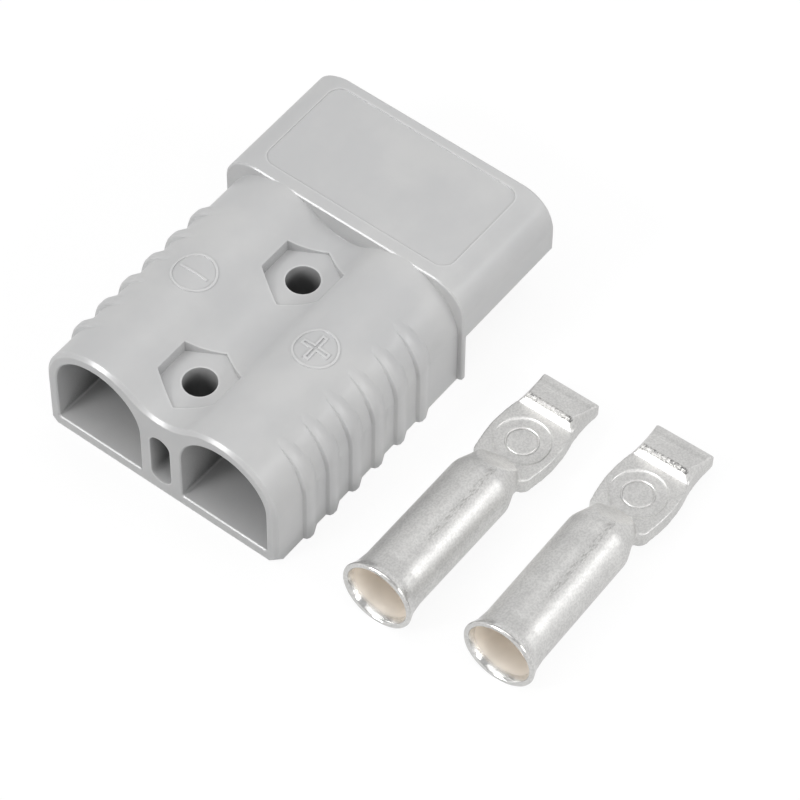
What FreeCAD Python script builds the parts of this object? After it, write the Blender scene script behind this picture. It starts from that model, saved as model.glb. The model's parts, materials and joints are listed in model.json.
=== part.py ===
import FreeCAD, Part
import math
import os

# Genderless two-pole power connector: one moulded housing, two leaf springs, two loose crimp contacts.
# Millimetres. +X points out of the mating end, +Z up, and the base lies on Z = 0.
# The origin is midway between the two mounting holes, on the base plane.

os.makedirs("parts", exist_ok=True)
V = FreeCAD.Vector

# Housing body, from the wire end to the back of the hood
REAR_X = -26.25
HOOD_BACK_X = 26.26
TOP_Z = 25.4
CREST_Y = 13.85
SHOULDER_R = 12.6
FLANK_R = 12.6
VALLEY_Z = 20.7
REAR_BEVEL = 0.7
REAR_FOOT_CUT = 1.8

# Grip ribs on both long sides
RIB_FIRST_X = -18.8
RIB_PITCH = 6.55
RIB_COUNT = 6
RIB_HEIGHT = 0.95
RIB_RISE = 0.9
RIB_BEVEL = 0.3
RIB_CREST = 1.0
RIB_FALL = 2.0
RIB_ARC_R = 10.76
RIB_ARC_Z = 13.63
RIB_SWEEP_DEG = 84.0
RIB_ROOT = 1.6

# Hood and flange at the mating end
HOOD_FRONT_X = 53.9
HOOD_HALF_Y = 27.6
HOOD_CORNER_R = 7.4
HOOD_WALL = 3.0
HOOD_SIDE_WALL = 4.0
HOOD_FRONT_BEVEL = 0.6
HOOD_BACK_BEVEL = 0.3
FLANGE_T = 0.9
FLANGE_FOOT_R = 0.8
MATING_GAP = 0.1

# Bare panel recess on top of the hood
PANEL_BACK_X = 29.0
PANEL_FRONT_X = 51.6
PANEL_HALF_Y = 21.3
PANEL_R = 2.75
PANEL_DEPTH = 0.3

# Deck that slides under the hood of a mating connector
DECK_CLEAR = 0.4
DECK_SETBACK = 1.0
DECK_FRONT_R = 2.5
CHANNEL_FLOOR_T = 2.6
LIP_T = 1.5
LIP_HEIGHT = 1.6

# Mounting holes with hexagonal nut pockets
HOLE_SPACING = 29.2
HOLE_R = 3.25
HEX_FLATS = 13.0
HEX_DEPTH = 0.5

# Cable entries and the slot between them
POLE_Y = 14.4
POLE_Z = 12.0
ENTRY_R = 9.7
ENTRY_ARCH_Z = 13.0
ENTRY_DEPTH = 14.0
ENTRY_FLOOR_Z = 2.35
ENTRY_FLOOR_R = 0.5
ENTRY_DRAFT = 0.35
ENTRY_EDGE = 0.25
SLOT_HALF_Y = 2.3
SLOT_LOW_Z = 2.6
SLOT_HIGH_Z = 15.4
SLOT_DEPTH = 6.0

# Polarity marks moulded on the two crests
MARK_X = 0.85
MARK_Y = 13.9
MARK_R = 4.4
MARK_LINE = 0.45
MARK_RELIEF = 0.22
MARK_ROOT = 1.6
SIGN_HALF = 3.0
SIGN_BAR = 1.3

# Crimp contact: tube with a flared mouth, closed and pressed flat into a paddle with a hooked tip
BARREL_R = 6.45
BARREL_WALL = 0.85
BARREL_L = 30.0
SHOULDER_L = 8.5
SHOULDER_CURVE = ((0, 1), (0.12, 0.975), (0.38, 0.85), (0.73, 0.68), (0.92, 0.34), (1, 0))
PINCH_START = 1.3
FLARE_R = 7.45
FLARE_L = 5.0
FLARE_LIP = 0.35
MOUTH_LIP = 0.6
FLARE_KNEE_S = 2.25
FLARE_KNEE_R = 6.75
BORE_DEPTH = 27.0
BORE_END_L = 5.0
PADDLE_T = 3.4
PADDLE_ROOT = 3.6
NECK_HALF = 4.4
NECK_L = 2.2
NECK_SAG = 0.55
PADDLE_HALF = 6.88
PADDLE_WIDEST_TO_HOOK = 6.2
PADDLE_SHOULDER_BACK = 0.5
PADDLE_SHOULDER_HALF = 6.2
WAIST_TO_TIP = 6.3
WAIST_HALF = 5.85
TIP_HALF = 6.1
HOOK_TO_TIP = 9.0
HOOK_RAMP = 0.75
HOOK_H = 2.5
HOOK_DRAFT = 0.5
HOOK_SLOPE_END_TO_TIP = 3.2
HOOK_SLOPE_END_H = 0.55
CONTACT_L = 59.7
NOSE_DROP = 1.7
NOSE_SAG = 0.6
NOSE_UNDER = 1.6
NOSE_UNDER_SAG = 0.45
TIP_CORNER = 0.8
PRESS_TO_HOOK = 7.2
PRESS_R = 5.4
PRESS_DEPTH = 0.15
RING_R = 3.15
RING_LINE = 0.3

# Fits between contact, spring and housing
BARREL_CLEAR = 0.4
PADDLE_CLEAR = 0.5
FLARE_CLEAR = 0.35
NOSE_TO_DECK_FRONT = 1.5
SPRING_END_CLEAR = 0.3
SPRING_SIDE_CLEAR = 1.4

# Leaf spring under each paddle
SPRING_T = 0.6
SPRING_TAB = 2.2

# Where the two loose contacts lie, by the middle of the mouth
LOOSE_A_XY = (-24.65, -47.4)
LOOSE_A_DEG = 0.8
LOOSE_B_XY = (-21.2, -71.4)
LOOSE_B_DEG = 1.85

# Worked-out places
FAR = 100.0
OVERLAP = 1.0
SIDE_Y = CREST_Y + SHOULDER_R
SHOULDER_Z = TOP_Z - SHOULDER_R
MATING_Z = TOP_Z / 2
HOOD_LOW_Z = MATING_Z + MATING_GAP
FLANGE_X = HOOD_BACK_X + FLANGE_T
DECK_HALF_Y = HOOD_HALF_Y - HOOD_SIDE_WALL - DECK_CLEAR
DECK_LOW_Z = HOOD_WALL + DECK_CLEAR
DECK_TOP_Z = MATING_Z - DECK_CLEAR
DECK_FRONT_X = HOOD_FRONT_X - DECK_SETBACK
CHANNEL_FLOOR_Z = DECK_LOW_Z + CHANNEL_FLOOR_T
CHANNEL_HALF = PADDLE_HALF + PADDLE_CLEAR
NOSE_X = DECK_FRONT_X - NOSE_TO_DECK_FRONT
MOUTH_X = NOSE_X - CONTACT_L
LIP_X = DECK_FRONT_X - LIP_T
BORE_R = BARREL_R - BARREL_WALL
PADDLE_START = BARREL_L + PADDLE_ROOT
PADDLE_SHOULDER = BARREL_L + SHOULDER_L - PADDLE_SHOULDER_BACK
HOOK_S = CONTACT_L - HOOK_TO_TIP
PADDLE_WIDEST = HOOK_S - PADDLE_WIDEST_TO_HOOK
WAIST_S = CONTACT_L - WAIST_TO_TIP
HOOK_SLOPE_END = CONTACT_L - HOOK_SLOPE_END_TO_TIP
PRESS_S = HOOK_S - PRESS_TO_HOOK


def edge(a, b):
    return Part.LineSegment(a, b).toShape()


def arc(a, middle, b):
    return Part.Arc(a, middle, b).toShape()


def bulged(a, b, sag, normal):
    """Arc from a to b whose middle stands off the chord by sag, in the plane with that normal."""
    chord = b - a
    off = chord.cross(normal)
    off.normalize()
    return arc(a, (a + b) * 0.5 + off * sag, b)


def face(edges):
    return Part.Face(Part.Wire(edges))


def on_circle(centre, radius, degrees, x):
    """Point of a circle in the YZ plane at the given x."""
    angle = math.radians(degrees)
    return V(x, centre[0] + radius * math.cos(angle), centre[1] + radius * math.sin(angle))


def box(x0, x1, y0, y1, z0, z1):
    return Part.makeBox(x1 - x0, y1 - y0, z1 - z0, V(x0, y0, z0))


def both_sides(shape):
    return [shape, shape.mirror(V(0, 0, 0), V(0, 1, 0))]


def upright_edges(block, beyond_x=-FAR):
    return [e for e in block.Edges
            if abs(e.tangentAt(e.FirstParameter).z) > 0.9 and e.BoundBox.XMin > beyond_x - 0.001]


def rim_edges(block, x):
    """Edges of the outline at the given x, apart from what lies on the base."""
    flat = [e for e in block.Edges if abs(e.BoundBox.XMin - x) < 0.001 and abs(e.BoundBox.XMax - x) < 0.001]
    return [e for e in flat if e.BoundBox.ZMax > 0.001]


def body_section(x, grow=0.0):
    """Two humps with a hollow valley between them, on straight sides and a flat base."""
    outer_r = SHOULDER_R + grow
    inner_r = FLANK_R + grow
    outer = (CREST_Y, SHOULDER_Z)
    inner = (CREST_Y, TOP_Z - FLANK_R)
    rise = VALLEY_Z + grow - inner[1]
    valley_r = (CREST_Y ** 2 + rise ** 2 - inner_r ** 2) / (2 * (inner_r - rise))
    valley_z = VALLEY_Z + grow + valley_r
    lean = math.degrees(math.atan2(valley_z - inner[1], -CREST_Y))
    meet = on_circle(inner, inner_r, lean, x)
    crest = V(x, CREST_Y, TOP_Z + grow)
    side = V(x, CREST_Y + outer_r, SHOULDER_Z)
    foot = V(x, CREST_Y + outer_r, 0)

    def flip(p):
        return V(p.x, -p.y, p.z)

    shoulder_mid = on_circle(outer, outer_r, 45, x)
    flank_mid = on_circle(inner, inner_r, (90 + lean) / 2, x)
    return face([
        edge(flip(foot), foot),
        edge(foot, side),
        arc(side, shoulder_mid, crest),
        arc(crest, flank_mid, meet),
        arc(meet, V(x, 0, VALLEY_Z + grow), flip(meet)),
        arc(flip(meet), flip(flank_mid), flip(crest)),
        arc(flip(crest), flip(shoulder_mid), flip(side)),
        edge(flip(side), flip(foot)),
    ])


def body():
    """Body block with a beveled rim at the wire end, whose two low corners are blunt."""
    block = body_section(REAR_X).extrude(V(FLANGE_X - REAR_X, 0, 0))
    block = block.makeChamfer(REAR_BEVEL, rim_edges(block, REAR_X))
    off = V(-1, 1, -1) / math.sqrt(3)
    plane = V(REAR_X, SIDE_Y, 0) - off * (REAR_FOOT_CUT / math.sqrt(3))
    blunt = Part.makeCylinder(REAR_FOOT_CUT, REAR_FOOT_CUT, plane, off)
    return block.cut(both_sides(blunt))


def rib(start_x):
    """One grip rib: steep towards the wire end, falling gently towards the hood, fading over the shoulder."""
    arc_y = SIDE_Y + RIB_HEIGHT - RIB_ARC_R
    land = SIDE_Y
    top = SIDE_Y + RIB_HEIGHT
    root = SIDE_Y - RIB_ROOT
    z = RIB_ARC_Z
    crest_x = start_x + RIB_RISE
    fall_x = crest_x + RIB_CREST
    end_x = fall_x + RIB_FALL
    profile = [
        edge(V(start_x, root, z), V(start_x, land, z)),
        edge(V(start_x, land, z), V(start_x + RIB_BEVEL, top - RIB_BEVEL, z)),
        edge(V(start_x + RIB_BEVEL, top - RIB_BEVEL, z), V(crest_x, top, z)),
        edge(V(crest_x, top, z), V(fall_x, top, z)),
        edge(V(fall_x, top, z), V(end_x, land, z)),
        edge(V(end_x, land, z), V(end_x, root, z)),
        edge(V(end_x, root, z), V(start_x, root, z)),
    ]
    section = face(profile)
    upright = section.extrude(V(0, 0, -z))
    over = section.revolve(V(0, arc_y, z), V(1, 0, 0), RIB_SWEEP_DEG)
    return upright.fuse(over)


def hood_outline(half_y, top_z, radius, low_z, foot_r, x):
    """Flat-topped section with round shoulders and, at its foot, small round corners."""
    turn = radius * (1 - math.sqrt(0.5))
    foot_turn = foot_r * (1 - math.sqrt(0.5))
    inset = half_y - radius
    shoulder_z = top_z - radius
    foot_z = low_z + foot_r
    return face([
        edge(V(x, foot_r - half_y, low_z), V(x, half_y - foot_r, low_z)),
        arc(V(x, half_y - foot_r, low_z), V(x, half_y - foot_turn, low_z + foot_turn), V(x, half_y, foot_z)),
        edge(V(x, half_y, foot_z), V(x, half_y, shoulder_z)),
        arc(V(x, half_y, shoulder_z), V(x, half_y - turn, top_z - turn), V(x, inset, top_z)),
        edge(V(x, inset, top_z), V(x, -inset, top_z)),
        arc(V(x, -inset, top_z), V(x, turn - half_y, top_z - turn), V(x, -half_y, shoulder_z)),
        edge(V(x, -half_y, shoulder_z), V(x, -half_y, foot_z)),
        arc(V(x, -half_y, foot_z), V(x, foot_turn - half_y, low_z + foot_turn), V(x, foot_r - half_y, low_z)),
    ])


def hood():
    """Flange and hood as one shell, open in front and underneath."""
    shell = hood_outline(HOOD_HALF_Y, TOP_Z, HOOD_CORNER_R, 0, FLANGE_FOOT_R, HOOD_BACK_X)
    shell = shell.extrude(V(HOOD_FRONT_X - HOOD_BACK_X, 0, 0))
    shell = shell.makeChamfer(HOOD_FRONT_BEVEL, rim_edges(shell, HOOD_FRONT_X))
    shell = shell.makeChamfer(HOOD_BACK_BEVEL, rim_edges(shell, HOOD_BACK_X))
    below = box(FLANGE_X, FAR, -FAR, FAR, -FAR, HOOD_LOW_Z)
    cavity = hood_outline(HOOD_HALF_Y - HOOD_SIDE_WALL, TOP_Z - HOOD_WALL, HOOD_CORNER_R - HOOD_SIDE_WALL,
                          -OVERLAP, FLANGE_FOOT_R, FLANGE_X)
    return shell.cut([below, cavity.extrude(V(FAR, 0, 0))])


def deck():
    block = box(HOOD_BACK_X, DECK_FRONT_X, -DECK_HALF_Y, DECK_HALF_Y, DECK_LOW_Z, DECK_TOP_Z)
    return block.makeFillet(DECK_FRONT_R, upright_edges(block, DECK_FRONT_X))


def mounting_hole(x):
    """Through hole with a hexagonal pocket whose corners point along X, flat on the hollow of the valley."""
    shaft = Part.makeCylinder(HOLE_R, FAR, V(x, 0, -OVERLAP), V(0, 0, 1))
    corner = HEX_FLATS / math.sqrt(3)
    floor_z = VALLEY_Z - HEX_DEPTH
    points = []
    for k in range(7):
        angle = math.radians(60 * k)
        points.append(V(x + corner * math.cos(angle), corner * math.sin(angle), floor_z))
    hexagon = Part.Face(Part.makePolygon(points)).extrude(V(0, 0, FAR))
    return [shaft, hexagon]


def arch(x, shrink):
    """Outline of a cable entry: round above, straight sides, small floor corners."""
    r = ENTRY_R - shrink
    low = ENTRY_FLOOR_Z + shrink
    turn = ENTRY_FLOOR_R * (1 - math.sqrt(0.5))
    corner = low + ENTRY_FLOOR_R
    left = POLE_Y - r
    right = POLE_Y + r
    return Part.Wire([
        edge(V(x, left + ENTRY_FLOOR_R, low), V(x, right - ENTRY_FLOOR_R, low)),
        arc(V(x, right - ENTRY_FLOOR_R, low), V(x, right - turn, low + turn), V(x, right, corner)),
        edge(V(x, right, corner), V(x, right, ENTRY_ARCH_Z)),
        arc(V(x, right, ENTRY_ARCH_Z), V(x, POLE_Y, ENTRY_ARCH_Z + r), V(x, left, ENTRY_ARCH_Z)),
        edge(V(x, left, ENTRY_ARCH_Z), V(x, left, corner)),
        arc(V(x, left, corner), V(x, left + turn, low + turn), V(x, left + ENTRY_FLOOR_R, low)),
    ])


def shoulder_points(start, length, radius):
    """Points along the shoulder that closes a barrel, as parts of its length and radius."""
    return [V(start + length * along, 0, radius * out) for along, out in SHOULDER_CURVE]


def turned(points):
    """Solid turned about the X axis from a closed outline."""
    return Part.Face(Part.makePolygon(points + points[:1])).revolve(V(0, 0, 0), V(1, 0, 0), 360)


def pole_cavity():
    """Everything cut for one pole: cable entry, barrel chamber, shoulder, paddle slot and deck channel."""
    axis = V(1, 0, 0)
    entry_end = REAR_X + ENTRY_DEPTH
    entry = Part.makeLoft([arch(REAR_X, 0), arch(entry_end, ENTRY_DRAFT)], True)
    mouth = Part.makeLoft([arch(REAR_X - ENTRY_EDGE, -2 * ENTRY_EDGE), arch(REAR_X + ENTRY_EDGE, 0)], True)
    flare_r = FLARE_R + FLARE_CLEAR
    flare_end = MOUTH_X + FLARE_L
    barrel_r = BARREL_R + BARREL_CLEAR
    barrel_end = MOUTH_X + BARREL_L
    wide_x = entry_end - OVERLAP
    wide = Part.makeCylinder(flare_r, flare_end - wide_x, V(wide_x, POLE_Y, POLE_Z), axis)
    chamber = Part.makeCylinder(barrel_r, barrel_end - entry_end, V(entry_end, POLE_Y, POLE_Z), axis)
    curve = shoulder_points(barrel_end, SHOULDER_L + BARREL_CLEAR, barrel_r)
    shoulder = turned(curve + [V(barrel_end, 0, 0)])
    shoulder.translate(V(0, POLE_Y, POLE_Z))
    slot = box(barrel_end - OVERLAP, FLANGE_X + OVERLAP, POLE_Y - CHANNEL_HALF, POLE_Y + CHANNEL_HALF,
               POLE_Z - PADDLE_T - PADDLE_CLEAR, POLE_Z + HOOK_H + PADDLE_CLEAR)
    channel = box(FLANGE_X, LIP_X, POLE_Y - CHANNEL_HALF, POLE_Y + CHANNEL_HALF,
                  CHANNEL_FLOOR_Z, DECK_TOP_Z + OVERLAP)
    over_lip = box(LIP_X - OVERLAP, DECK_FRONT_X + OVERLAP, POLE_Y - CHANNEL_HALF, POLE_Y + CHANNEL_HALF,
                   CHANNEL_FLOOR_Z + LIP_HEIGHT, DECK_TOP_Z + OVERLAP)
    return [entry, mouth, wide, chamber, shoulder, slot, channel, over_lip]


def rear_slot():
    half = SLOT_HALF_Y
    low = SLOT_LOW_Z + half
    high = SLOT_HIGH_Z - half
    x = REAR_X - OVERLAP
    section = face([
        edge(V(x, half, low), V(x, half, high)),
        arc(V(x, half, high), V(x, 0, SLOT_HIGH_Z), V(x, -half, high)),
        edge(V(x, -half, high), V(x, -half, low)),
        arc(V(x, -half, low), V(x, 0, SLOT_LOW_Z), V(x, half, low)),
    ])
    return section.extrude(V(SLOT_DEPTH + OVERLAP, 0, 0))


def polarity_marks():
    """Low ring on each crest, round a minus bar on +Y and an outlined plus on -Y."""
    relief = body_section(MARK_X - FAR / 2, MARK_RELIEF).extrude(V(FAR, 0, 0))
    root_z = TOP_Z - MARK_ROOT
    up = V(0, 0, 1)

    def ring(y):
        base = V(MARK_X, y, root_z)
        outside = Part.makeCylinder(MARK_R, FAR, base, up)
        return outside.cut(Part.makeCylinder(MARK_R - MARK_LINE, FAR, base, up))

    def bar(y, half_x, half_y):
        return box(MARK_X - half_x, MARK_X + half_x, y - half_y, y + half_y, root_z, FAR)

    half_bar = SIGN_BAR / 2
    core = half_bar - MARK_LINE
    minus = bar(MARK_Y, MARK_LINE / 2, SIGN_HALF)
    reach = SIGN_HALF - MARK_LINE
    cross = bar(-MARK_Y, half_bar, SIGN_HALF).fuse(bar(-MARK_Y, SIGN_HALF, half_bar))
    hollow = bar(-MARK_Y, core, reach).fuse(bar(-MARK_Y, reach, core))
    plus = cross.cut(hollow)
    return [mark.common(relief) for mark in (ring(MARK_Y), ring(-MARK_Y), minus, plus)]


def panel():
    floor_z = TOP_Z - PANEL_DEPTH
    block = box(PANEL_BACK_X, PANEL_FRONT_X, -PANEL_HALF_Y, PANEL_HALF_Y, floor_z, TOP_Z + OVERLAP)
    return block.makeFillet(PANEL_R, upright_edges(block))


def housing():
    ribs = []
    for k in range(RIB_COUNT):
        ribs += both_sides(rib(RIB_FIRST_X + RIB_PITCH * k))
    solid = body().fuse(ribs + [hood(), deck()])
    tools = [panel(), rear_slot()]
    for x in (-HOLE_SPACING / 2, HOLE_SPACING / 2):
        tools += mounting_hole(x)
    for cut in pole_cavity():
        tools += both_sides(cut)
    solid = solid.cut(tools)
    solid = solid.fuse(polarity_marks())
    return solid.removeSplitter()


def spring():
    """Bowed leaf with two flat tabs, in the deck channel under the paddle."""
    back = FLANGE_X + SPRING_END_CLEAR
    front = LIP_X - SPRING_END_CLEAR
    low = CHANNEL_FLOOR_Z
    under_paddle = POLE_Z - PADDLE_T
    half_y = CHANNEL_HALF - SPRING_SIDE_CLEAR
    a = back + SPRING_TAB
    b = front - SPRING_TAB
    middle = (a + b) / 2
    rise = under_paddle - SPRING_T - low
    half = (b - a) / 2
    radius = (half ** 2 + rise ** 2) / (2 * rise)
    centre_z = low + rise - radius
    top_r = radius + SPRING_T
    top_half = math.sqrt(top_r ** 2 - (low + SPRING_T - centre_z) ** 2)
    y = POLE_Y - half_y
    section = face([
        edge(V(back, y, low), V(a, y, low)),
        arc(V(a, y, low), V(middle, y, low + rise), V(b, y, low)),
        edge(V(b, y, low), V(front, y, low)),
        edge(V(front, y, low), V(front, y, low + SPRING_T)),
        edge(V(front, y, low + SPRING_T), V(middle + top_half, y, low + SPRING_T)),
        arc(V(middle + top_half, y, low + SPRING_T), V(middle, y, under_paddle),
            V(middle - top_half, y, low + SPRING_T)),
        edge(V(middle - top_half, y, low + SPRING_T), V(back, y, low + SPRING_T)),
        edge(V(back, y, low + SPRING_T), V(back, y, low)),
    ])
    return section.extrude(V(0, 2 * half_y, 0))


def barrel():
    """Tube with a flared mouth, closed over its shoulder and pinched on top down to the axis, which is X."""
    outline = [
        V(0, 0, FLARE_R - FLARE_LIP),
        V(FLARE_LIP, 0, FLARE_R),
        V(FLARE_KNEE_S, 0, FLARE_KNEE_R),
        V(FLARE_L, 0, BARREL_R),
    ]
    outline += shoulder_points(BARREL_L, SHOULDER_L, BARREL_R)
    outline += [
        V(BORE_DEPTH + BORE_END_L, 0, 0),
        V(BORE_DEPTH, 0, BORE_R),
        V(FLARE_L, 0, BORE_R),
        V(FLARE_KNEE_S, 0, FLARE_KNEE_R - BARREL_WALL),
        V(0, 0, FLARE_R - FLARE_LIP - MOUTH_LIP),
    ]
    pinch_x = BARREL_L + PINCH_START
    end_x = BARREL_L + SHOULDER_L
    y = -FAR / 2
    pinch = face([
        edge(V(pinch_x, y, BARREL_R), V(end_x, y, 0)),
        edge(V(end_x, y, 0), V(end_x + OVERLAP, y, 0)),
        edge(V(end_x + OVERLAP, y, 0), V(end_x + OVERLAP, y, FAR)),
        edge(V(end_x + OVERLAP, y, FAR), V(pinch_x, y, FAR)),
        edge(V(pinch_x, y, FAR), V(pinch_x, y, BARREL_R)),
    ])
    return turned(outline).cut(pinch.extrude(V(0, FAR, 0)))


def paddle_plan():
    """Outline of the paddle from above, as a prism that is taller than the contact."""
    z = -FAR / 2
    neck_end = PADDLE_START + NECK_L
    up = V(0, 0, 1)

    def side(sign):
        shoulder = V(PADDLE_SHOULDER, sign * PADDLE_SHOULDER_HALF, z)
        hook = V(HOOK_S, sign * TIP_HALF, z)
        corner = V(CONTACT_L - TIP_CORNER, sign * TIP_HALF, z)
        return [
            edge(V(PADDLE_START, sign * NECK_HALF, z), V(neck_end, sign * NECK_HALF, z)),
            bulged(V(neck_end, sign * NECK_HALF, z), shoulder, -sign * NECK_SAG, up),
            arc(shoulder, V(PADDLE_WIDEST, sign * PADDLE_HALF, z), hook),
            arc(hook, V(WAIST_S, sign * WAIST_HALF, z), corner),
            edge(corner, V(CONTACT_L, sign * (TIP_HALF - TIP_CORNER), z)),
        ]

    tip = TIP_HALF - TIP_CORNER
    back = edge(V(PADDLE_START, -NECK_HALF, z), V(PADDLE_START, NECK_HALF, z))
    front = edge(V(CONTACT_L, -tip, z), V(CONTACT_L, tip, z))
    outline = Part.Wire(Part.__sortEdges__(side(1) + [front] + side(-1) + [back]))
    return Part.Face(outline).extrude(V(0, 0, FAR))


def paddle():
    """Flat paddle whose tip carries a hook: steep towards the barrel, sloping down to a round nose."""
    y = -FAR / 2
    across = V(0, 1, 0)
    ramp_top = V(HOOK_S + HOOK_RAMP, y, HOOK_H)
    slope_end = V(HOOK_SLOPE_END, y, HOOK_SLOPE_END_H)
    nose = V(CONTACT_L, y, -NOSE_DROP)
    under = V(CONTACT_L - NOSE_UNDER, y, -PADDLE_T)
    outline = face([
        edge(V(PADDLE_START, y, 0), V(HOOK_S, y, 0)),
        edge(V(HOOK_S, y, 0), ramp_top),
        edge(ramp_top, slope_end),
        bulged(slope_end, nose, NOSE_SAG, across),
        bulged(nose, under, NOSE_UNDER_SAG, across),
        edge(under, V(PADDLE_START, y, -PADDLE_T)),
        edge(V(PADDLE_START, y, -PADDLE_T), V(PADDLE_START, y, 0)),
    ])
    profile = outline.extrude(V(0, FAR, 0))
    lean = HOOK_DRAFT * HOOK_H
    x = PADDLE_START
    crown = Part.Face(Part.makePolygon([
        V(x, -WAIST_HALF, 0),
        V(x, WAIST_HALF, 0),
        V(x, WAIST_HALF - lean, HOOK_H),
        V(x, lean - WAIST_HALF, HOOK_H),
        V(x, -WAIST_HALF, 0),
    ]))
    crown = crown.extrude(V(FAR, 0, 0))
    flat = box(PADDLE_START, FAR, -FAR, FAR, -FAR, 0)
    solid = profile.common(paddle_plan()).common(flat.fuse(crown))
    press = Part.makeCylinder(PRESS_R, OVERLAP, V(PRESS_S, 0, -PRESS_DEPTH), V(0, 0, 1))
    ring_floor = V(PRESS_S, 0, -2 * PRESS_DEPTH)
    ring = Part.makeCylinder(RING_R, OVERLAP, ring_floor, V(0, 0, 1))
    ring = ring.cut(Part.makeCylinder(RING_R - RING_LINE, OVERLAP, ring_floor, V(0, 0, 1)))
    return solid.cut([press, ring])


def contact():
    bore = Part.makeCylinder(BORE_R, BORE_DEPTH, V(0, 0, 0), V(1, 0, 0))
    return barrel().fuse(paddle()).cut(bore).removeSplitter()


def lay_down(shape, xy, degrees):
    """Lay a contact on the ground: it leans on its flared mouth and on the front of its barrel."""
    lean = math.degrees(math.asin((FLARE_R - BARREL_R) / (BARREL_L - FLARE_LIP)))
    laid = shape.copy()
    laid.rotate(V(0, 0, 0), V(0, 1, 0), lean)
    laid.rotate(V(0, 0, 0), V(0, 0, 1), degrees)
    laid.translate(V(xy[0], xy[1], -laid.optimalBoundingBox(False, False).ZMin))
    return laid


loose = contact()
leaf = both_sides(spring())
nodes = {
    "housing": housing(),
    "spring_minus": leaf[0],
    "spring_plus": leaf[1],
    "contact_a": lay_down(loose, LOOSE_A_XY, LOOSE_A_DEG),
    "contact_b": lay_down(loose, LOOSE_B_XY, LOOSE_B_DEG),
}
for name, shape in nodes.items():
    shape.exportStep("parts/" + name + ".step")
    solids = len(shape.Solids)
    print(name, shape.isValid(), solids, round(shape.Volume, 1), shape.optimalBoundingBox(False, False))
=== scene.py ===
import json
import math

import bmesh
import bpy
from mathutils import Matrix, Vector


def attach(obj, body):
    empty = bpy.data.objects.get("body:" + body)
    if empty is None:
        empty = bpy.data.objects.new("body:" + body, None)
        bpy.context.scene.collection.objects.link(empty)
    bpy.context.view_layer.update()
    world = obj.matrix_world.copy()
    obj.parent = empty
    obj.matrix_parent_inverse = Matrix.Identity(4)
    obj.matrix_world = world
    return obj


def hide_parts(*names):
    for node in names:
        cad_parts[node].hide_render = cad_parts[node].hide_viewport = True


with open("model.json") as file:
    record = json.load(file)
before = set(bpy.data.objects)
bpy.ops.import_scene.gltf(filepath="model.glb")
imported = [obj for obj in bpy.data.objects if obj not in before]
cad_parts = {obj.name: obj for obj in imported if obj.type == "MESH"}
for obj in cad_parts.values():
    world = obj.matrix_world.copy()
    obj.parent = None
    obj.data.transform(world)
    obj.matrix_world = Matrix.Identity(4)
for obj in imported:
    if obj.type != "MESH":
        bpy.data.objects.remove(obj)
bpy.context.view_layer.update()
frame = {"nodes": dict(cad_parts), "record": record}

MM = 0.001


# Housing
# One injection moulding in satin grey plastic: two humps over the cable ways, grip ribs, nut pockets,
# hood and deck. The mould leaves a small radius on every edge, which the plastic's normals run round.
WELD_GAP = 0.002 * MM
HOUSING_CREASE_DEG = 28
HOUSING_EDGE_R = 0.24 * MM
HOUSING_EDGE_REACH = 0.5 * MM
FACE_WEIGHT = 50


def fused(node):
    """Copy of a node's mesh with its loose triangles joined along their edges."""
    shell = bmesh.new()
    shell.from_mesh(frame["nodes"][node].data)
    bmesh.ops.remove_doubles(shell, verts=shell.verts, dist=WELD_GAP)
    return shell


def piece_from(name, mesh):
    """A finished mesh as a piece of the scene, with the large faces leading its normals."""
    piece = bpy.data.objects.new(name, mesh)
    bpy.context.scene.collection.objects.link(piece)
    weighted = piece.modifiers.new("weighted", "WEIGHTED_NORMAL")
    weighted.weight = FACE_WEIGHT
    weighted.keep_sharp = True
    return piece


def add(tree, kind, sockets=None, **settings):
    """Add a shader node with its settings, and give each named socket a value or a link."""
    made = tree.nodes.new("ShaderNode" + kind)
    for key, value in settings.items():
        setattr(made, key, value)
    for key, value in (sockets or {}).items():
        if isinstance(value, bpy.types.NodeSocket):
            tree.links.new(value, made.inputs[key])
        else:
            made.inputs[key].default_value = value
    return made


def new_material(name):
    material = bpy.data.materials.new(name)
    material.use_nodes = True
    material.node_tree.nodes.clear()
    return material


def new_group(name, inputs, outputs):
    """Node group with named float inputs and named outputs, each a float or a vector."""
    tree = bpy.data.node_groups.new(name, "ShaderNodeTree")
    for label, value in inputs.items():
        socket = tree.interface.new_socket(label, in_out="INPUT", socket_type="NodeSocketFloat")
        socket.default_value = value
    for label, kind in outputs.items():
        tree.interface.new_socket(label, in_out="OUTPUT", socket_type="NodeSocket" + kind)
    return tree, tree.nodes.new("NodeGroupInput").outputs, tree.nodes.new("NodeGroupOutput").inputs


def use_group(tree, group, values):
    made = tree.nodes.new("ShaderNodeGroup")
    made.node_tree = group
    for key, value in values.items():
        made.inputs[key].default_value = value
    return made.outputs


def ramp(tree, value, low, high, to_low=0.0, to_high=1.0):
    """Value carried smoothly from one range to another."""
    sockets = {"Value": value, "From Min": low, "From Max": high, "To Min": to_low, "To Max": to_high}
    return add(tree, "MapRange", sockets, interpolation_type="SMOOTHSTEP").outputs["Result"]


def blended(tree, factor, a, b):
    return add(tree, "Mix", {"Factor": factor, 6: a, 7: b}, data_type="RGBA").outputs[2]


def scaled(tree, colour, scale):
    return add(tree, "VectorMath", {0: colour, "Scale": scale}, operation="SCALE").outputs["Vector"]


def maths(tree, operation, a, b=None):
    sockets = {0: a} if b is None else {0: a, 1: b}
    return add(tree, "Math", sockets, operation=operation).outputs["Value"]


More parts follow.
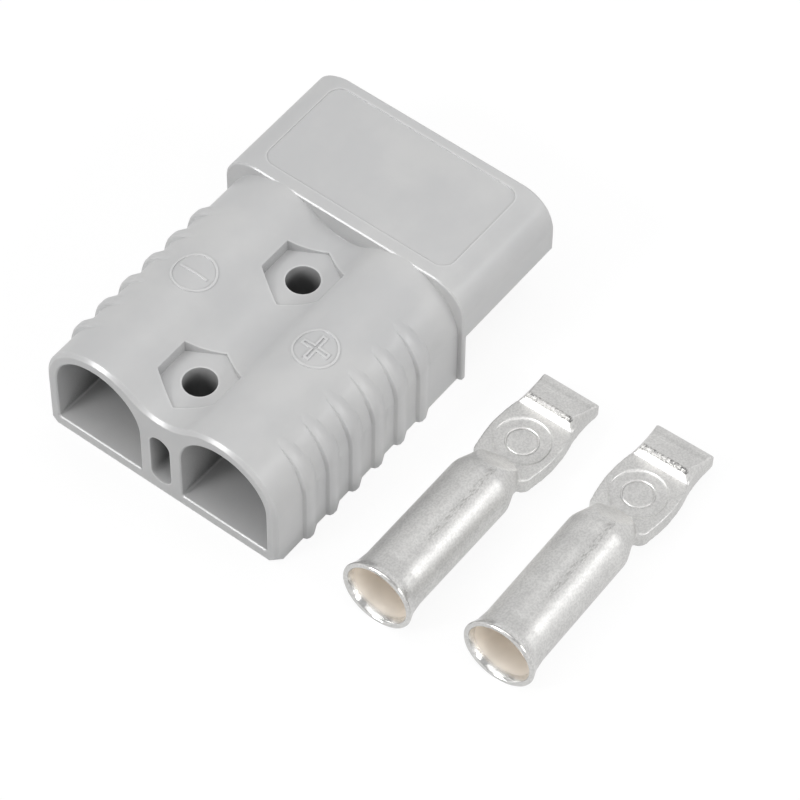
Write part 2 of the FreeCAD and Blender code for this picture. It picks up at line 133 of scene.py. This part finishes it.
def noise(tree, where, scale, detail=2.0, roughness=0.5, distortion=0.0):
    """Cloudy noise from 0 to 1."""
    sockets = {"Vector": where, "Scale": scale, "Detail": detail,
               "Roughness": roughness, "Distortion": distortion}
    return add(tree, "TexNoise", sockets).outputs["Fac"]


def bumped(tree, height, share, distance, normal=None):
    """Normal bent by a height, on top of another normal where one is given."""
    sockets = {"Height": height, "Strength": share, "Distance": distance}
    if normal is not None:
        sockets["Normal"] = normal
    return add(tree, "Bump", sockets).outputs["Normal"]


# Where each noise or mask starts and where it is full.
NOISE_BAND = (0.3, 0.7)
NOISE_CORE = (0.35, 0.65)
MASK_SAMPLES = 8
EDGE_OPEN = (0.97, 0.65)
RECESS_OPEN = (0.42, 0.08)
RECESS_TILT = (0.9, 0.4)
RECESS_ON_FLOORS = 0.25


def grain_group():
    """Fine even grain and slow patches, both from 0 to 1, at given sizes."""
    sizes = {"Grain Scale": PLASTIC_GRAIN, "Patch Scale": PLASTIC_PATCH}
    tree, given, out = new_group("surface grain", sizes, {"Grain": "Float", "Patch": "Float"})
    where = add(tree, "TexCoord").outputs["Object"]
    grain = noise(tree, where, given["Grain Scale"], detail=3.0, roughness=0.6)
    patch = noise(tree, where, given["Patch Scale"], detail=4.0, roughness=0.55)
    tree.links.new(grain, out["Grain"])
    tree.links.new(patch, out["Patch"])
    return tree


def edge_group():
    """Normal that runs round every edge at a given radius, and a mask of the outer edges alone."""
    sizes = {"Radius": HOUSING_EDGE_R, "Edge Reach": HOUSING_EDGE_REACH}
    tree, given, out = new_group("round edge", sizes, {"Edge": "Float", "Normal": "Vector"})
    rounded = add(tree, "Bevel", {"Radius": given["Radius"]}, samples=MASK_SAMPLES).outputs["Normal"]
    within = add(tree, "AmbientOcclusion", {"Distance": given["Edge Reach"]},
                 samples=MASK_SAMPLES, inside=True, only_local=True).outputs["AO"]
    tree.links.new(ramp(tree, within, *EDGE_OPEN), out["Edge"])
    tree.links.new(rounded, out["Normal"])
    return tree


def painted_shade_group():
    """Mask for painted shade: 0 in the open to 1 deep in a hollow, at a given reach, weaker on floors."""
    tree, given, out = new_group("shade_in_hollows", {"Reach": RECESS_REACH}, {"Painted Shade": "Float"})
    open_sky = add(tree, "AmbientOcclusion", {"Distance": given["Reach"]},
                   samples=MASK_SAMPLES, only_local=True).outputs["AO"]
    normal = add(tree, "NewGeometry").outputs["Normal"]
    facing = add(tree, "SeparateXYZ", {"Vector": normal}).outputs["Z"]
    steep = add(tree, "MapRange", {
        "Value": facing, "From Min": RECESS_TILT[0], "From Max": RECESS_TILT[1],
        "To Min": RECESS_ON_FLOORS, "To Max": 1.0}).outputs["Result"]
    shaded = maths(tree, "MULTIPLY", ramp(tree, open_sky, *RECESS_OPEN), steep)
    tree.links.new(shaded, out["Painted Shade"])
    return tree


# Greys, grain and gloss of the plastic.
GREY_PLASTIC = (0.560, 0.562, 0.565, 1.0)
GREY_DUSTY = (0.600, 0.600, 0.598, 1.0)
# The next grey is a painted highlight for the outer edges.
GREY_PAINTED_HIGHLIGHT = (0.90, 0.90, 0.90, 1.0)
# The next grey is painted shade for the hollows.
GREY_PAINTED_SHADE = (0.08, 0.08, 0.082, 1.0)
DUSTY_BAND = (0.35, 0.7)
MOTTLE = (0.98, 1.015)
PAINTED_HIGHLIGHT_SHARE = 0.3
PAINTED_SHADE_SHARE = 0.9
PLASTIC_GRAIN = 5200.0
PLASTIC_GRAIN_H = 0.02 * MM
PLASTIC_GRAIN_SHARE = 0.12
PLASTIC_PATCH = 70.0
FLOW_SCALE = 28.0
FLOW_BEND = 0.2
ROUGH_BAND = (0.3, 0.75)
PLASTIC_ROUGH = (0.285, 0.36)
WORN_ROUGH = 0.10
PLASTIC_IOR = 1.48
RECESS_REACH = 35 * MM

GRAIN = grain_group()
EDGE = edge_group()
PAINTED_SHADE = painted_shade_group()


def plastic_material():
    material = new_material("housing plastic")
    tree = material.node_tree
    where = add(tree, "TexCoord").outputs["Object"]
    grain = use_group(tree, GRAIN, {"Grain Scale": PLASTIC_GRAIN, "Patch Scale": PLASTIC_PATCH})
    edge = use_group(tree, EDGE, {"Radius": HOUSING_EDGE_R, "Edge Reach": HOUSING_EDGE_REACH})
    shade_in_hollows = use_group(tree, PAINTED_SHADE, {"Reach": RECESS_REACH})
    flow = noise(tree, where, FLOW_SCALE, detail=2.0, distortion=FLOW_BEND)
    tone = blended(tree, ramp(tree, grain["Patch"], *DUSTY_BAND), GREY_PLASTIC, GREY_DUSTY)
    colour = scaled(tree, tone, ramp(tree, flow, *NOISE_BAND, *MOTTLE))
    # Painted highlight: a pale grey along the outer edges stands in for the glints of light on them.
    painted_highlight = maths(tree, "MULTIPLY", edge["Edge"], PAINTED_HIGHLIGHT_SHARE)
    colour = blended(tree, painted_highlight, colour, GREY_PAINTED_HIGHLIGHT)
    # Painted shade: the grey turns near black deep in the cable entries and other hollows, where shade
    # falls.
    shade_paint = maths(tree, "MULTIPLY", shade_in_hollows["Painted Shade"], PAINTED_SHADE_SHARE)
    colour = blended(tree, shade_paint, colour, GREY_PAINTED_SHADE)
    roughness = ramp(tree, grain["Patch"], *ROUGH_BAND, *PLASTIC_ROUGH)
    roughness = maths(tree, "ADD", roughness, maths(tree, "MULTIPLY", edge["Edge"], WORN_ROUGH))
    normal = bumped(tree, grain["Grain"], PLASTIC_GRAIN_SHARE, PLASTIC_GRAIN_H, edge["Normal"])
    shader = add(tree, "BsdfPrincipled", {
        "Base Color": colour, "Roughness": roughness, "IOR": PLASTIC_IOR, "Normal": normal})
    add(tree, "OutputMaterial", {"Surface": shader.outputs["BSDF"]})
    return material


moulding = bpy.data.meshes.new("housing_moulding")
shell = fused("housing")
shell.to_mesh(moulding)
shell.free()
moulding.attributes.remove(moulding.attributes["custom_normal"])
moulding.shade_smooth()
moulding.set_sharp_from_angle(angle=math.radians(HOUSING_CREASE_DEG))
moulding.materials.clear()
moulding.materials.append(plastic_material())
housing = piece_from("housing_moulding", moulding)
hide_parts("housing")
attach(housing, "root")


# Leaf springs
# Two strips of stainless steel, each bent to a bow between two flat tabs, clipped into the deck channels.
# They keep the shape of their solids, with the sheared edges just broken.
SPRING_EDGE = 0.08 * MM
SPRING_EDGE_STEPS = 2
SPRING_EDGE_DEG = 50
SPRING_PATCH = 160.0
ROLLING_SCALE = (60.0, 4000.0, 60.0)
ROLLING_H = 0.02 * MM
ROLLING_SHARE = 0.15
STEEL_DARK = (0.46, 0.46, 0.47, 1.0)
STEEL_LIGHT = (0.60, 0.60, 0.60, 1.0)
STEEL_ROUGH = (0.26, 0.40)


def spring_material():
    material = new_material("spring steel")
    tree = material.node_tree
    where = add(tree, "TexCoord").outputs["Object"]
    grain = use_group(tree, GRAIN, {"Patch Scale": SPRING_PATCH})
    rolled = add(tree, "Mapping", {"Vector": where, "Scale": ROLLING_SCALE}).outputs["Vector"]
    lines = noise(tree, rolled, 1.0, detail=3.0)
    colour = blended(tree, ramp(tree, grain["Patch"], *NOISE_BAND), STEEL_DARK, STEEL_LIGHT)
    roughness = ramp(tree, lines, *NOISE_BAND, *STEEL_ROUGH)
    normal = bumped(tree, lines, ROLLING_SHARE, ROLLING_H)
    shader = add(tree, "BsdfPrincipled", {
        "Base Color": colour, "Metallic": 1.0, "Roughness": roughness, "Normal": normal})
    add(tree, "OutputMaterial", {"Surface": shader.outputs["BSDF"]})
    return material


spring_steel = spring_material()
for name in ("spring_minus", "spring_plus"):
    leaf = frame["nodes"][name]
    leaf.data.materials.clear()
    leaf.data.materials.append(spring_steel)
    weld = leaf.modifiers.new("weld", "WELD")
    weld.merge_threshold = WELD_GAP
    broken = leaf.modifiers.new("broken edge", "BEVEL")
    broken.width = SPRING_EDGE
    broken.segments = SPRING_EDGE_STEPS
    broken.angle_limit = math.radians(SPRING_EDGE_DEG)


# Crimp contacts
# Each is one piece of copper tube, plated bright: flared at the mouth, spun shut over a round shoulder and
# pressed flat into a paddle with a hooked tip. They lie loose beside the housing.
BARREL_R = 6.45 * MM
BARREL_L = 30.0 * MM
BARREL_STEPS = 96
BORE_R = 5.6 * MM
BORE_DEPTH = 27.0 * MM
BORE_END = 32.0 * MM
SHOULDER_L = 8.5 * MM
SHOULDER_CURVE = ((0, 1), (0.12, 0.975), (0.38, 0.85), (0.73, 0.68), (0.92, 0.34), (1, 0))
SHOULDER_STEPS = 6
PINCH_START = 1.3 * MM
FLARE_R = 7.45 * MM
FLARE_L = 5.0 * MM
FLARE_LIP = 0.35 * MM
FLARE_LIP_ROUND = 0.3
FLARE_POWER = 2.2
FLARE_STEPS = 10
MOUTH_LIP = 0.6 * MM
CONTACT_CELL = 0.18 * MM
CONTACT_RELAX = 2
CONTACT_EASE = 0.5
CONTACT_TRIANGLES = 190000


def axis_frame(mount_name):
    """Turn and place of a contact: X from its mouth along the barrel, Z up, from its wire bore."""
    mount = next(m for m in frame["record"]["mounts"] if m["name"] == mount_name)
    along = -Vector(mount["axis"])
    across = Vector((0, 0, 1)).cross(along).normalized()
    up = along.cross(across)
    middle = (FLARE_L + BORE_DEPTH) / 2
    mouth = Vector(mount["pos_m"]) - along * middle
    turn = Matrix((along, across, up)).transposed()
    return Matrix.Translation(mouth) @ turn.to_4x4()


def curve_through(points, steps):
    """Points of a smooth curve that passes through the given ones."""
    ends = [points[0]] + list(points) + [points[-1]]
    out = []
    for before, a, b, after in zip(ends, ends[1:], ends[2:], ends[3:]):
        for k in range(steps):
            t = k / steps
            spot = []
            for p, q, r, s in zip(before, a, b, after):
                bend = (2 * p - 5 * q + 4 * r - s) * t * t + (3 * q - p - 3 * r + s) * t ** 3
                spot.append((2 * q + (r - p) * t + bend) / 2)
            out.append(tuple(spot))
    return out + [tuple(points[-1])]


def tube_outline():
    """Section of the tube along its axis: lip, flare, barrel and shoulder, then back along the bore."""
    lip_r = FLARE_R - FLARE_LIP
    outline = [(0, lip_r), (FLARE_LIP * FLARE_LIP_ROUND, FLARE_R - FLARE_LIP * FLARE_LIP_ROUND),
               (FLARE_LIP, FLARE_R)]
    shares = [k / FLARE_STEPS for k in range(1, FLARE_STEPS + 1)]
    for t in shares:
        r = BARREL_R + (FLARE_R - BARREL_R) * (1 - t) ** FLARE_POWER
        outline.append((FLARE_LIP + (FLARE_L - FLARE_LIP) * t, r))
    shoulder = [(BARREL_L + SHOULDER_L * along, BARREL_R * out) for along, out in SHOULDER_CURVE]
    outline += curve_through(shoulder, SHOULDER_STEPS)
    outline += [(BORE_END, 0), (BORE_DEPTH, BORE_R), (FLARE_L, BORE_R)]
    for t in shares:
        r = BORE_R + (lip_r - MOUTH_LIP - BORE_R) * t ** FLARE_POWER
        outline.append((FLARE_L * (1 - t), r))
    return outline


def smooth_barrel():
    """The tube with its true curves, pinched on top of the shoulder, to lie over the stepped one."""
    tube = bmesh.new()
    rim = [tube.verts.new((x, 0, z)) for x, z in tube_outline()]
    edges = [tube.edges.new(pair) for pair in zip(rim, rim[1:] + rim[:1])]
    bmesh.ops.spin(tube, geom=rim + edges, cent=(0, 0, 0), axis=(1, 0, 0), angle=math.tau,
                   steps=BARREL_STEPS, use_merge=True, use_duplicate=False)
    bmesh.ops.remove_doubles(tube, verts=tube.verts, dist=WELD_GAP)
    bmesh.ops.recalc_face_normals(tube, faces=tube.faces)
    pinch = Vector((BARREL_R, 0, SHOULDER_L - PINCH_START)).normalized()
    whole = list(tube.verts) + list(tube.edges) + list(tube.faces)
    bmesh.ops.bisect_plane(tube, geom=whole, dist=WELD_GAP, plane_co=(BARREL_L + PINCH_START, 0, BARREL_R),
                           plane_no=pinch, clear_outer=True)
    bmesh.ops.holes_fill(tube, edges=[e for e in tube.edges if e.is_boundary], sides=0)
    return tube


def softened(name, shell):
    """Mesh of a closed shell skinned with even cells, its edges relaxed and its flats thinned."""
    mesh = bpy.data.meshes.new(name)
    shell.to_mesh(mesh)
    shell.free()
    work = bpy.data.objects.new(name, mesh)
    bpy.context.scene.collection.objects.link(work)
    skin = work.modifiers.new("skin", "REMESH")
    skin.mode = "VOXEL"
    skin.voxel_size = CONTACT_CELL
    easing = work.modifiers.new("easing", "SMOOTH")
    easing.factor = CONTACT_EASE
    easing.iterations = CONTACT_RELAX
    view = bpy.context.evaluated_depsgraph_get()
    triangles = 2 * len(work.evaluated_get(view).data.polygons)
    if triangles > CONTACT_TRIANGLES:
        thinning = work.modifiers.new("thinning", "DECIMATE")
        thinning.ratio = CONTACT_TRIANGLES / triangles
        view = bpy.context.evaluated_depsgraph_get()
    finished = bpy.data.meshes.new_from_object(work.evaluated_get(view))
    bpy.data.objects.remove(work)
    bpy.data.meshes.remove(mesh)
    finished.shade_smooth()
    return finished


def contact_piece(name, node, mount_name, material):
    """The contact's solid and its smooth barrel as one skin, which knows its places along the barrel."""
    place = axis_frame(mount_name)
    shell = fused(node)
    smooth = smooth_barrel()
    smooth.transform(place)
    part = bpy.data.meshes.new("barrel")
    smooth.to_mesh(part)
    smooth.free()
    shell.from_mesh(part)
    bpy.data.meshes.remove(part)
    mesh = softened(name, shell)
    back = place.inverted()
    local = mesh.attributes.new("local", "FLOAT_VECTOR", "POINT")
    for vertex, item in zip(mesh.vertices, local.data):
        item.vector = back @ vertex.co
    mesh.materials.clear()
    mesh.materials.append(material)
    piece = piece_from(name, mesh)
    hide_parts(node)
    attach(piece, "root")


# Marks on the contact: lengths from its mouth along the barrel, heights over the barrel's axis.
RIM_L = 0.8 * MM
RIM_FADE = 2.4 * MM
BORE_FULL = 2.0 * MM
BORE_FADE = 1.0 * MM
BORE_WALL = 0.35 * MM
BORE_EDGE = 0.15 * MM
SEAM_TURN = math.radians(110)
SEAM_CORE = math.radians(2)
SEAM_HALF = math.radians(9)
SEAM_START = 9.0 * MM
SEAM_FULL = 14.0 * MM
SEAM_FADE = 31.0 * MM
SEAM_END = 34.0 * MM
PRESS_S = 43.5 * MM
PRESS_R = 5.4 * MM
PRESS_EDGE = 0.12 * MM
PRESS_SHARE = 0.6
PRESS_DEPTH = 0.12 * MM
PRESS_LOW_Z = -0.8 * MM
RING_R = 3.0 * MM
RING_HALF = 0.17 * MM
RING_EDGE = 0.08 * MM
CREST_START = PRESS_S + PRESS_R
CREST_END = 52.3 * MM
CREST_EDGE = 0.5 * MM
CREST_LOW_Z = 1.5 * MM
CREST_LOW_EDGE = 0.15 * MM


def product(tree, *factors):
    """All the factors multiplied together."""
    out = factors[0]
    for factor in factors[1:]:
        out = maths(tree, "MULTIPLY", out, factor)
    return out


def length_of(tree, sockets):
    """Length of the vector with the given X, Y and Z."""
    vector = add(tree, "CombineXYZ", sockets).outputs["Vector"]
    return add(tree, "VectorMath", {0: vector}, operation="LENGTH").outputs["Value"]


def distance_from(tree, value, middle):
    return maths(tree, "ABSOLUTE", maths(tree, "SUBTRACT", value, middle))


def bore_mask(tree, spot):
    """1 on the wall of the wire bore, 0 on the rim and outside."""
    wall_r = ramp(tree, spot["X"], 0.0, FLARE_L, FLARE_R - MOUTH_LIP, BORE_R + BORE_WALL)
    under_wall = maths(tree, "SUBTRACT", wall_r, length_of(tree, {"Y": spot["Y"], "Z": spot["Z"]}))
    return product(
        tree, ramp(tree, under_wall, 0.0, BORE_EDGE), ramp(tree, spot["X"], RIM_L, BORE_FULL),
        ramp(tree, spot["X"], BORE_END - BORE_FADE, BORE_END - 2 * BORE_FADE))


def seam_mask(tree, spot):
    """1 along the seam on the barrel's top, from behind the flare to the shoulder."""
    turn = maths(tree, "ARCTAN2", spot["Z"], spot["Y"])
    return product(
        tree, ramp(tree, distance_from(tree, turn, SEAM_TURN), SEAM_HALF, SEAM_CORE),
        ramp(tree, spot["X"], SEAM_START, SEAM_FULL), ramp(tree, spot["X"], SEAM_END, SEAM_FADE))


def crest_mask(tree, spot):
    """1 on the upper part of the slope from the paddle to the hooked tip."""
    return product(
        tree, ramp(tree, spot["Z"], CREST_LOW_Z - CREST_LOW_EDGE, CREST_LOW_Z + CREST_LOW_EDGE),
        ramp(tree, spot["X"], CREST_START, CREST_START + CREST_EDGE),
        ramp(tree, spot["X"], CREST_END, CREST_END - CREST_EDGE))


def stamped_height(tree, spot):
    """Height over the paddle's top: a round pressed field with a ring sunk in its middle."""
    from_press = length_of(tree, {"X": maths(tree, "SUBTRACT", spot["X"], PRESS_S), "Y": spot["Y"]})
    off_ring = distance_from(tree, from_press, RING_R)
    ring = ramp(tree, off_ring, RING_HALF + RING_EDGE, RING_HALF - RING_EDGE)
    step = ramp(tree, from_press, PRESS_R - PRESS_EDGE, PRESS_R + PRESS_EDGE)
    height = maths(tree, "SUBTRACT", maths(tree, "MULTIPLY", step, PRESS_SHARE), ring)
    return product(
        tree, height, maths(tree, "GREATER_THAN", spot["Z"], PRESS_LOW_Z),
        maths(tree, "GREATER_THAN", spot["X"], BARREL_L + SHOULDER_L))


# Colours, grain and gloss of the plating.
CONTACT_EDGE_R = 0.3 * MM
PLATE_DARK = (0.67, 0.665, 0.655, 1.0)
PLATE_LIGHT = (0.73, 0.725, 0.712, 1.0)
PLATE_PITTED = (0.35, 0.34, 0.33, 1.0)
PLATE_SCUFFED = (0.20, 0.20, 0.20, 1.0)
PLATE_PATCH = 220.0
PLATE_GRAIN = 3600.0
PLATE_GRAIN_H = 0.03 * MM
PLATE_GRAIN_SHARE = 0.45
PLATE_ROUGH = (0.40, 0.50)
SPECKLE_SCALE = 2400.0
SPECKLE = (0.90, 1.07)
PIT_SCALE = 3200.0
PIT_DRAWN = (0.35, 1.0, 1.0)
PIT_BAND = (0.45, 0.60)
PIT_SHARE = 0.6
PIT_DEPTH = 0.1 * MM
SCUFF_BAND = (0.42, 0.58)
SCUFF = (0.15, 1.0)
CREST_ROUGH = 0.85
RIM_SMOOTH = 0.32
BORE_WARM = (0.95, 0.90, 0.835, 1.0)
BORE_DULL = 0.35
BORE_ROUGH = 0.45


def plated_material():
    material = new_material("bright plating")
    tree = material.node_tree
    grain = use_group(tree, GRAIN, {"Grain Scale": PLATE_GRAIN, "Patch Scale": PLATE_PATCH})
    edge = use_group(tree, EDGE, {"Radius": CONTACT_EDGE_R})
    local = add(tree, "Attribute", attribute_name="local").outputs["Vector"]
    spot = add(tree, "SeparateXYZ", {"Vector": local}).outputs
    bore = bore_mask(tree, spot)
    crest = crest_mask(tree, spot)
    rubbed = maths(tree, "MAXIMUM", seam_mask(tree, spot), crest)
    drawn = add(tree, "Mapping", {"Vector": local, "Scale": PIT_DRAWN}).outputs["Vector"]
    pits = noise(tree, drawn, PIT_SCALE, detail=4.0, roughness=0.7)
    pitted = product(tree, ramp(tree, pits, *PIT_BAND), rubbed)
    scuffed = product(tree, pitted, crest, ramp(tree, grain["Patch"], *SCUFF_BAND, *SCUFF))

    fine = noise(tree, local, SPECKLE_SCALE, detail=2.0, roughness=0.7)
    colour = blended(tree, ramp(tree, grain["Patch"], *NOISE_BAND), PLATE_DARK, PLATE_LIGHT)
    colour = scaled(tree, colour, ramp(tree, fine, *NOISE_CORE, *SPECKLE))
    colour = blended(tree, maths(tree, "MULTIPLY", pitted, PIT_SHARE), colour, PLATE_PITTED)
    colour = blended(tree, scuffed, colour, PLATE_SCUFFED)
    colour = blended(tree, bore, colour, BORE_WARM)
    metallic = maths(tree, "SUBTRACT", 1.0, maths(tree, "MULTIPLY", bore, BORE_DULL))
    roughness = product(
        tree, ramp(tree, grain["Grain"], *NOISE_CORE, *PLATE_ROUGH),
        ramp(tree, spot["X"], RIM_L, RIM_FADE, RIM_SMOOTH, 1.0))
    roughness = maths(tree, "MAXIMUM", roughness, maths(tree, "MULTIPLY", bore, BORE_ROUGH))
    roughness = maths(tree, "MAXIMUM", roughness, maths(tree, "MULTIPLY", crest, CREST_ROUGH))

    normal = bumped(tree, stamped_height(tree, spot), 1.0, PRESS_DEPTH, edge["Normal"])
    normal = bumped(tree, maths(tree, "MULTIPLY", pits, rubbed), PIT_SHARE, PIT_DEPTH, normal)
    normal = bumped(tree, grain["Grain"], PLATE_GRAIN_SHARE, PLATE_GRAIN_H, normal)
    shader = add(tree, "BsdfPrincipled", {
        "Base Color": colour, "Metallic": metallic, "Roughness": roughness, "Normal": normal})
    add(tree, "OutputMaterial", {"Surface": shader.outputs["BSDF"]})
    return material


bright_plating = plated_material()
contact_piece("loose_contact_a", "contact_a", "wire_bore_a", bright_plating)
contact_piece("loose_contact_b", "contact_b", "wire_bore_b", bright_plating)


# Floor, world and lamps
# A white sheet just under the part, a pale room round it, a wide soft lamp overhead, a long low one on the
# right and a small one on the left, with a sheet of light near it that shows in the shiny edges only.
FLOOR_SIZE = 6.0
FLOOR_GAP = 0.02 * MM
FLOOR_WHITE = (0.92, 0.92, 0.92, 1.0)
FLOOR_BOUNCE = (0.60, 0.60, 0.60, 1.0)
FLOOR_GLOW = 0.86
FLOOR_SHINE = 1.03
FLOOR_MIRRORED = 0.82
ROOM_GLOW = 0.50
ROOM_RISE = (0.1, 0.7)
ROOM_MIRRORED = (0.98, 0.56)
PURE_WHITE = (1.0, 1.0, 1.0, 1.0)
PART_MIDDLE = Vector((0.012, -0.020, 0.01))

sheet = bmesh.new()
lowered = Matrix.Translation((0, 0, -FLOOR_GAP))
bmesh.ops.create_grid(sheet, x_segments=2, y_segments=2, size=FLOOR_SIZE, matrix=lowered)
floor_mesh = bpy.data.meshes.new("floor")
sheet.to_mesh(floor_mesh)
sheet.free()
floor = bpy.data.objects.new("floor", floor_mesh)
bpy.context.scene.collection.objects.link(floor)
floor_material = new_material("white sheet")
tree = floor_material.node_tree
path = add(tree, "LightPath").outputs
seen = maths(tree, "MAXIMUM", path["Is Camera Ray"], path["Is Glossy Ray"])
seen = maths(tree, "MAXIMUM", seen, path["Is Transmission Ray"])
seen = maths(tree, "MULTIPLY", seen, FLOOR_GLOW)
sheet_tone = blended(tree, path["Is Diffuse Ray"], FLOOR_WHITE, FLOOR_BOUNCE)
white = add(tree, "BsdfDiffuse", {"Color": sheet_tone})
shine = add(tree, "Mix", {
    "Factor": path["Is Glossy Ray"], 2: FLOOR_SHINE, 3: FLOOR_MIRRORED}, data_type="FLOAT").outputs[0]
glow = add(tree, "Emission", {"Color": PURE_WHITE, "Strength": shine})
mixed = add(tree, "MixShader", {0: seen, 1: white.outputs["BSDF"], 2: glow.outputs["Emission"]})
add(tree, "OutputMaterial", {"Surface": mixed.outputs["Shader"]})
floor_mesh.materials.append(floor_material)

room = bpy.data.worlds.new("room")
bpy.context.scene.world = room
room.use_nodes = True
tree = room.node_tree
tree.nodes.clear()
direction = add(tree, "TexCoord").outputs["Generated"]
rise = add(tree, "SeparateXYZ", {"Vector": direction}).outputs["Z"]
mirrored = ramp(tree, rise, *ROOM_RISE, *ROOM_MIRRORED)
path = add(tree, "LightPath").outputs
strength = add(tree, "Mix", {
    "Factor": path["Is Glossy Ray"], 2: ROOM_GLOW, 3: mirrored}, data_type="FLOAT").outputs[0]
pale = add(tree, "Background", {"Color": PURE_WHITE, "Strength": strength})
add(tree, "OutputWorld", {"Surface": pale.outputs["Background"]})


def lamp(name, place, width, height, power):
    light = bpy.data.lights.new(name, "AREA")
    light.shape = "RECTANGLE"
    light.size = width
    light.size_y = height
    light.energy = power
    made = bpy.data.objects.new(name, light)
    made.location = place
    made.rotation_euler = (PART_MIDDLE - Vector(place)).to_track_quat("-Z", "Y").to_euler()
    made.visible_camera = False
    bpy.context.scene.collection.objects.link(made)
    return made


lamp("overhead", place=(-0.10, 0.10, 1.15), width=1.1, height=1.1, power=4.35)
lamp("left", place=(-0.85, 0.36, 0.80), width=0.30, height=0.16, power=3.0)
lamp("right", place=(0.18, -0.98, 0.56), width=0.95, height=0.22, power=3.2)
glints = lamp("edge glints", place=(-0.95, 0.42, 0.57), width=0.42, height=0.42, power=15.0)
glints.visible_diffuse = False


# Camera
# At the photograph's viewing angle, with a long lens, looking down at the wire end and the minus Y side.
LENS_MM = 183.22
SENSOR_MM = 36.0
CAMERA_PLACE = (-0.33735, -0.28896, 0.59722)
CAMERA_TURN_DEG = (36.589, -0.474, -52.215)

camera = bpy.data.cameras.new("camera")
camera.lens = LENS_MM
camera.sensor_width = SENSOR_MM
viewer = bpy.data.objects.new("camera", camera)
viewer.location = CAMERA_PLACE
viewer.rotation_euler = [math.radians(v) for v in CAMERA_TURN_DEG]
bpy.context.scene.collection.objects.link(viewer)
bpy.context.scene.camera = viewer
bpy.context.scene.view_settings.view_transform = "Standard"
